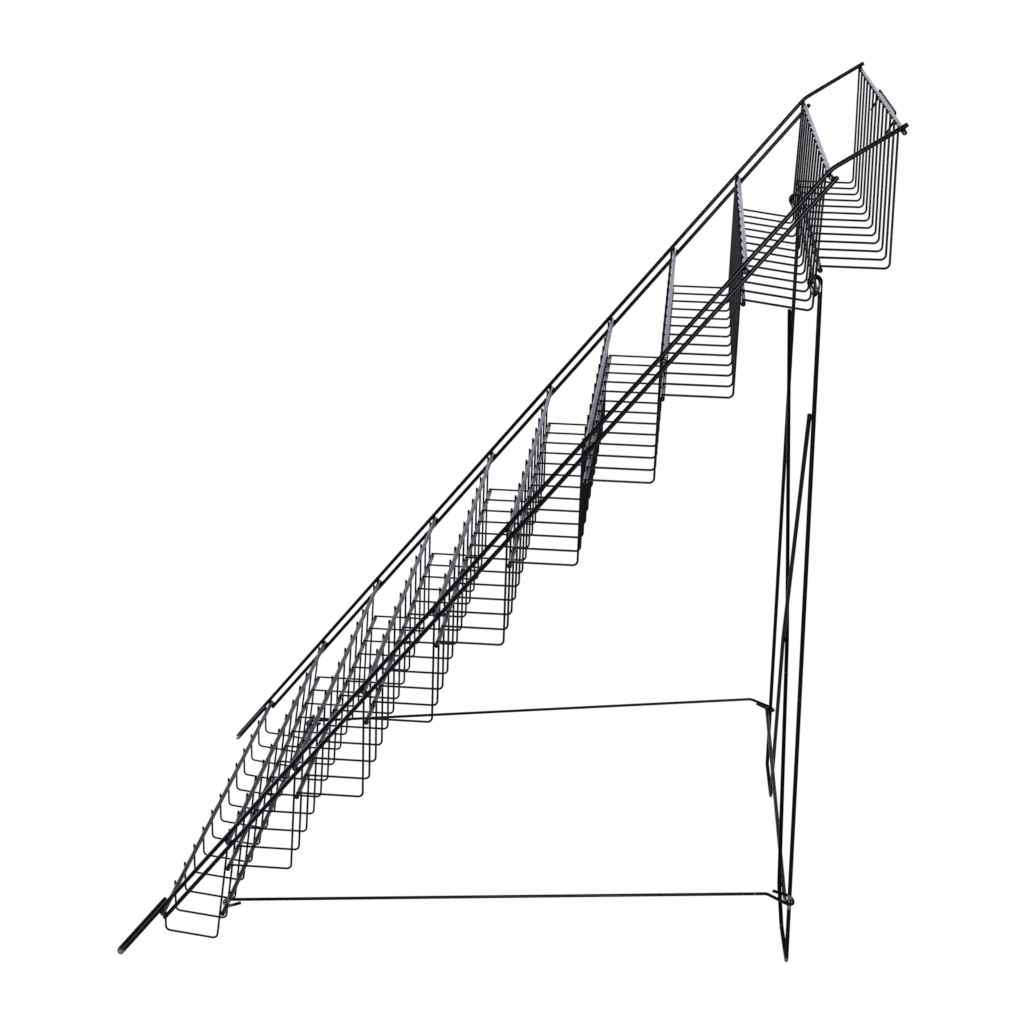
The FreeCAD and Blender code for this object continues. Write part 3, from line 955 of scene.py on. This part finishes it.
@dataclass
class Studio:
    """Pale floor, soft light and the camera."""

    eye: Vector = field(default_factory=lambda: Vector((2.3442, 0.209617, 1.238609)))
    pitch: float = math.radians(18.16)
    yaw: float = math.radians(-4.93)
    roll: float = math.radians(1.32)
    focal_pixels: float = 2027.5
    frame_pixels: float = 1024.0
    sensor: float = 36.0
    floor_radius: float = 45.0
    floor_drop: float = 0.3 * MM
    paper_tone: float = 0.72
    paper_roughness: float = 0.85
    paper_glow: float = 0.985
    air_level: float = 0.12
    air_blue: float = 0.20
    boxes: tuple[SoftBox, ...] = (
        SoftBox("back_box", (-4.2, 0.3, 1.2), (0.0, 0.0, 0.9), 4.5, 1.2, 1.58, (0.82, 0.83, 1.0)),
        SoftBox("overhead_box", (-1.1, -0.2, 3.2), (-0.6, 0.0, 0.4), 2.2, 2.2, 3.6, (0.88, 0.89, 1.0)),
        SoftBox("front_box", (-1.4, -2.6, 0.5), (0.0, 0.0, 0.7), 2.6, 0.9, 6.0, (0.78, 0.79, 1.0)),
        SoftBox("camera_box", (2.6, 0.06, 0.78), (0.3, 0.25, 0.85), 0.45, 0.70, 40.0, (0.88, 0.90, 1.0)),
    )

    def build(self) -> None:
        """Lay the floor, hang the lamps and set the camera."""
        self.lay_floor()
        self.light_world()
        self.hang_lamps()
        self.set_camera()
        bpy.context.scene.view_settings.view_transform = "Standard"

    def lay_floor(self) -> None:
        """Make the pale floor, which keeps the rack's soft shadow."""
        mesh = bmesh.new()
        bmesh.ops.create_circle(mesh, cap_ends=True, segments=96, radius=self.floor_radius)
        bmesh.ops.translate(mesh, vec=(0.0, 0.0, -self.floor_drop), verts=mesh.verts[:])
        data = bpy.data.meshes.new("studio_floor")
        mesh.to_mesh(data)
        mesh.free()
        floor = bpy.data.objects.new("studio_floor", data)
        bpy.context.scene.collection.objects.link(floor)
        material = bpy.data.materials.new("studio_paper")
        graph = CoatGraph(material)
        look = {"Base Color": grey(self.paper_tone), "Roughness": self.paper_roughness}
        paper = graph.add("ShaderNodeBsdfPrincipled", inputs=look)
        glow = graph.add("ShaderNodeEmission", inputs={"Color": grey(1.0), "Strength": 1.0})
        seen = graph.add("ShaderNodeLightPath", output="Is Camera Ray")
        mix = graph.add("ShaderNodeMixShader", inputs={0: seen * self.paper_glow, 1: paper, 2: glow})
        graph.add("ShaderNodeOutputMaterial", inputs={"Surface": mix})
        data.materials.append(material)

    def light_world(self) -> None:
        """Surround the rack with dim even light that shows white to the camera."""
        world = bpy.data.worlds.new("studio_air")
        bpy.context.scene.world = world
        graph = CoatGraph(world)
        light = {"Color": grey(1.0, self.air_blue), "Strength": self.air_level}
        air = graph.add("ShaderNodeBackground", inputs=light)
        white = graph.add("ShaderNodeBackground", inputs={"Color": grey(1.0), "Strength": 1.0})
        seen = graph.add("ShaderNodeLightPath", output="Is Camera Ray")
        mix = graph.add("ShaderNodeMixShader", inputs={0: seen, 1: air, 2: white})
        graph.add("ShaderNodeOutputWorld", inputs={"Surface": mix})

    def hang_lamps(self) -> None:
        """Hang the soft boxes round the rack."""
        for box in self.boxes:
            data = bpy.data.lights.new(box.name, "AREA")
            data.shape = "RECTANGLE"
            data.size = box.width
            data.size_y = box.height
            data.energy = box.level * box.width * box.height * math.pi
            data.color = box.tint
            lamp = bpy.data.objects.new(box.name, data)
            bpy.context.scene.collection.objects.link(lamp)
            lamp.location = box.place
            ray = Vector(box.target) - Vector(box.place)
            lamp.rotation_euler = ray.to_track_quat("-Z", "Y").to_euler()
            lamp.visible_camera = False

    def set_camera(self) -> None:
        """Put the camera where the photograph was taken from."""
        ahead = Vector((
            -math.cos(self.pitch) * math.cos(self.yaw),
            math.cos(self.pitch) * math.sin(self.yaw),
            -math.sin(self.pitch),
        ))
        right = ahead.cross(Z_AXIS).normalized()
        up = right.cross(ahead)
        rolled_right = right * math.cos(self.roll) + up * math.sin(self.roll)
        rolled_up = up * math.cos(self.roll) - right * math.sin(self.roll)
        turn = Matrix((rolled_right, rolled_up, -ahead)).transposed()
        data = bpy.data.cameras.new("camera")
        data.sensor_width = self.sensor
        data.lens = self.focal_pixels * self.sensor / self.frame_pixels
        camera = bpy.data.objects.new("camera", data)
        bpy.context.scene.collection.objects.link(camera)
        camera.matrix_world = Matrix.Translation(self.eye) @ turn.to_4x4()
        bpy.context.scene.camera = camera


def bare_nodes(nodes: dict[str, bpy.types.Object], coats: CoatBox) -> list[str]:
    """Names of the frame's nodes that no class has coated.

    Args:
        nodes: The frame's nodes.
        coats: The coats that have been mixed.

    Returns:
        The names.
    """
    mixed = set(coats.mixed.values())
    return [name for name, node in nodes.items()
            if any(slot.material not in mixed for slot in node.material_slots)]


def main() -> None:
    """Build the looks of the whole rack, piece by piece."""
    logging.basicConfig(level=logging.INFO, format="%(name)s: %(message)s")
    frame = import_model()
    nodes = frame["nodes"]
    coats = CoatBox()
    for kind in (SideFrames, ShelfStack, RearStand, SideBraces, SignHolder):
        assembly = kind(coats)
        assembly.dress(nodes)
        assembly.build()
        LOG.info("%s done", kind.__name__)
    Studio().build()
    LOG.info("uncoated nodes: %s", bare_nodes(nodes, coats))


if __name__ == "__main__":
    main()
